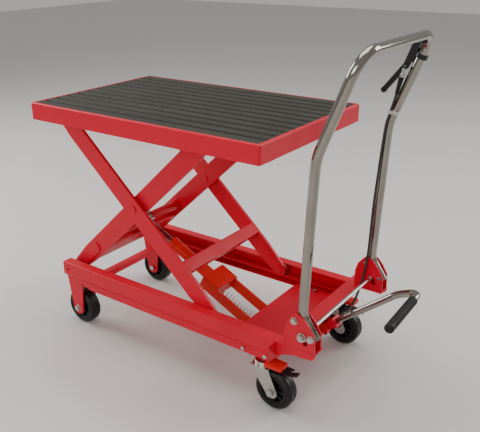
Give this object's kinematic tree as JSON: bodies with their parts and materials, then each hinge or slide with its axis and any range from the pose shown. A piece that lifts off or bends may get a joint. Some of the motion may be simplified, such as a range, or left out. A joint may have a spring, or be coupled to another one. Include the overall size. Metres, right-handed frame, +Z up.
{
  "type": "mobile scissor lift table",
  "caption": "Red mobile lift table: a tray top with a ribbed mat on single scissor arms, raised by a foot-pumped jack, with a push handle, fixed front wheels and braked swivel casters.",
  "frame": {"origin": "on the floor, under the middle of the overall bounding box", "axes": "+X from the front wheels towards the push handle, +Y towards the right hand of a person standing at the handle, +Z up"},
  "size_m": [0.9886, 0.437, 0.843],
  "materials": {
    "red_paint": "gloss",
    "orange_red_paint": "gloss",
    "zinc": "satin",
    "chrome": "polished",
    "black_rubber": "matte",
    "tyre_rubber": "satin",
    "black_plastic": "satin",
    "black_paint": "satin"
  },
  "bodies": {
    "base": {"base_rail_left": "red_paint", "base_rail_right": "red_paint", "lower_bars": "red_paint", "front_cross_bar": "red_paint", "deck_plate": "red_paint", "rear_cross_member": "red_paint", "handle_bracket_left": "red_paint", "handle_bracket_right": "red_paint", "front_fork_left": "red_paint", "front_fork_right": "red_paint", "caster_pads": "orange_red_paint", "base_pivot_pins": "red_paint", "pump_block": "orange_red_paint", "release_valve": "black_paint", "handle_bolts": "zinc", "frame_bolts": "zinc"},
    "inner_arms": {"inner_arm_left": "red_paint", "inner_arm_right": "red_paint", "inner_cross_plate": "red_paint", "ram_cross_tube": "red_paint", "inner_arm_pins": "red_paint"},
    "outer_arms": {"outer_arm_left": "red_paint", "outer_arm_right": "red_paint", "outer_cross_beam": "red_paint", "outer_arm_pins": "red_paint"},
    "table": {"table_tray": "red_paint", "rubber_mat": "black_rubber", "table_channels": "red_paint"},
    "base_roller_l": {"base_roller_left": "zinc"},
    "base_roller_r": {"base_roller_right": "zinc"},
    "table_roller_l": {"table_roller_left": "zinc"},
    "table_roller_r": {"table_roller_right": "zinc"},
    "ram": {"ram": "chrome"},
    "jack": {"jack_frame": "orange_red_paint", "cylinder_barrel": "orange_red_paint", "return_spring": "zinc"},
    "pedal": {"pedal_socket": "red_paint", "pedal_shaft": "chrome", "pedal_grip": "black_rubber"},
    "pump_piston": {"pump_piston": "chrome"},
    "handle": {"handle_tube": "chrome", "lever_bracket": "black_paint", "cable_fittings": "zinc", "cable_boot": "black_rubber", "release_cable": "black_plastic"},
    "lock_rod": {"lock_rod": "zinc"},
    "release_lever": {"release_lever": "black_plastic"},
    "caster_l": {"caster_fork_left": "zinc"},
    "caster_r": {"caster_fork_right": "zinc"},
    "caster_wheel_l": {"caster_tyre_left": "tyre_rubber", "caster_hub_left": "black_plastic"},
    "caster_wheel_r": {"caster_tyre_right": "tyre_rubber", "caster_hub_right": "black_plastic"},
    "brake_l": {"brake_pedal_left": "black_paint"},
    "brake_r": {"brake_pedal_right": "black_paint"},
    "front_wheel_l": {"front_tyre_left": "tyre_rubber", "front_hub_left": "black_plastic"},
    "front_wheel_r": {"front_tyre_right": "tyre_rubber", "front_hub_right": "black_plastic"}
  },
  "joints": [
    {"name": "lift", "type": "hinge", "parent": "base", "child": "inner_arms", "pos_m": [-0.46475, 0, 0.1693], "axis": [0, -1, 0], "range_deg": [-31, 10]},
    {"name": "outer_arms_pivot", "type": "hinge", "parent": "inner_arms", "child": "outer_arms", "pos_m": [-0.22025, 0, 0.3943], "axis": [0, -1, 0], "range_deg": [-20, 62]},
    {"name": "table_level", "type": "hinge", "parent": "outer_arms", "child": "table", "pos_m": [-0.46475, 0, 0.6193], "axis": [0, -1, 0], "range_deg": [-31, 10]},
    {"name": "base_roller_spin_l", "type": "hinge", "parent": "outer_arms", "child": "base_roller_l", "pos_m": [0.02425, -0.17025, 0.1693], "axis": [0, 1, 0], "continuous": true},
    {"name": "table_roller_spin_l", "type": "hinge", "parent": "inner_arms", "child": "table_roller_l", "pos_m": [0.02425, -0.17025, 0.6193], "axis": [0, 1, 0], "continuous": true},
    {"name": "base_roller_spin_r", "type": "hinge", "parent": "outer_arms", "child": "base_roller_r", "pos_m": [0.02425, 0.17025, 0.1693], "axis": [0, 1, 0], "continuous": true},
    {"name": "table_roller_spin_r", "type": "hinge", "parent": "inner_arms", "child": "table_roller_r", "pos_m": [0.02425, 0.17025, 0.6193], "axis": [0, 1, 0], "continuous": true},
    {"name": "ram_tilt", "type": "hinge", "parent": "inner_arms", "child": "ram", "pos_m": [-0.33377, 0, 0.28983], "axis": [0, -1, 0], "range_deg": [-12.6, 38.8]},
    {"name": "jack_stroke", "type": "slide", "parent": "ram", "child": "jack", "axis": [0.9012, 0, -0.4333], "range_m": [-0.0719, 0.0233]},
    {"name": "foot_pedal", "type": "hinge", "parent": "base", "child": "pedal", "pos_m": [0.26225, -0.008, 0.152], "axis": [0, 1, 0], "range_deg": [0, 20], "stiffness_Nm_per_rad": 2.5, "springref_deg": -34.38},
    {"name": "pump_stroke", "type": "slide", "parent": "base", "child": "pump_piston", "axis": [-1, 0, 0], "range_m": [0, 0.0064]},
    {"name": "handle_fold", "type": "hinge", "parent": "base", "child": "handle", "pos_m": [0.31725, 0, 0.225], "axis": [0, 1, 0], "range_deg": [0, 60], "deforming": ["release_cable"]},
    {"name": "lock_rod_slide", "type": "slide", "parent": "base", "child": "lock_rod", "axis": [0.4722, 0, -0.8815], "range_m": [0, 0.0155], "stiffness_N_per_m": 400, "springref_m": -0.02},
    {"name": "release_squeeze", "type": "hinge", "parent": "handle", "child": "release_lever", "pos_m": [0.3517, 0.17, 0.78941], "axis": [0, -1, 0], "range_deg": [0, 7], "stiffness_Nm_per_rad": 0.5, "springref_deg": -28.65},
    {"name": "caster_swivel_l", "type": "hinge", "parent": "base", "child": "caster_l", "pos_m": [0.18525, -0.168, 0.112], "axis": [0, 0, 1], "continuous": true},
    {"name": "caster_wheel_spin_l", "type": "hinge", "parent": "caster_l", "child": "caster_wheel_l", "pos_m": [0.22025, -0.168, 0.0496], "axis": [0, 1, 0], "continuous": true},
    {"name": "brake_pedal_l", "type": "hinge", "parent": "caster_l", "child": "brake_l", "pos_m": [0.20825, -0.168, 0.092], "axis": [0, 1, 0], "range_deg": [0, 8]},
    {"name": "front_wheel_spin_l", "type": "hinge", "parent": "base", "child": "front_wheel_l", "pos_m": [-0.44475, -0.156, 0.0496], "axis": [0, 1, 0], "continuous": true},
    {"name": "caster_swivel_r", "type": "hinge", "parent": "base", "child": "caster_r", "pos_m": [0.18525, 0.168, 0.112], "axis": [0, 0, 1], "continuous": true},
    {"name": "caster_wheel_spin_r", "type": "hinge", "parent": "caster_r", "child": "caster_wheel_r", "pos_m": [0.22025, 0.168, 0.0496], "axis": [0, 1, 0], "continuous": true},
    {"name": "brake_pedal_r", "type": "hinge", "parent": "caster_r", "child": "brake_r", "pos_m": [0.20825, 0.168, 0.092], "axis": [0, 1, 0], "range_deg": [0, 8]},
    {"name": "front_wheel_spin_r", "type": "hinge", "parent": "base", "child": "front_wheel_r", "pos_m": [-0.44475, 0.156, 0.0496], "axis": [0, 1, 0], "continuous": true}
  ],
  "couplings": [
    {"joint": "outer_arms_pivot", "follows": "lift", "ratio": -2},
    {"joint": "table_level", "follows": "lift", "ratio": 1},
    {"joint": "ram_tilt", "follows": "lift", "ratio": -1.247},
    {"joint": "jack_stroke", "follows": "lift", "m_per_rad": 0.1326},
    {"joint": "pump_stroke", "follows": "foot_pedal", "m_per_rad": 0.018}
  ]
}
